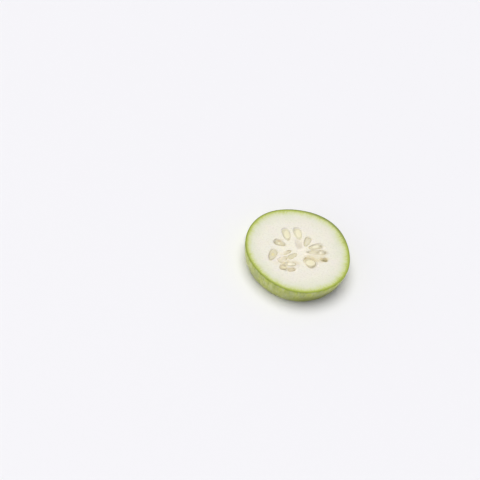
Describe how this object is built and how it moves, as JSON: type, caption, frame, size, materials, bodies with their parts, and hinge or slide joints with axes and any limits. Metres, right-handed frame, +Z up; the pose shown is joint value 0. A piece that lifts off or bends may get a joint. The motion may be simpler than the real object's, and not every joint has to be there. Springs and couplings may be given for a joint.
{
  "type": "bottle gourd slice",
  "caption": "Thick round slice of bottle gourd: pale flesh with seeds lying in shallow pockets in both cuts, inside a thin green rind that narrows downwards.",
  "frame": {"origin": "middle of the box round the slice, in the plane of the lower cut that it rests on", "axes": "+Z up, out of the larger upper cut; -Y faces the viewer of the picture, +X to that viewer's right"},
  "size_m": [0.0678, 0.0678, 0.0135],
  "materials": {
    "rind": "waxy skin, satin, yellow-green with paler grey-green mottling",
    "flesh": "moist cut flesh, cream in the middle and light green next to the rind"
  },
  "bodies": {
    "root": {"rind": "rind", "flesh": "flesh"}
  },
  "joints": []
}
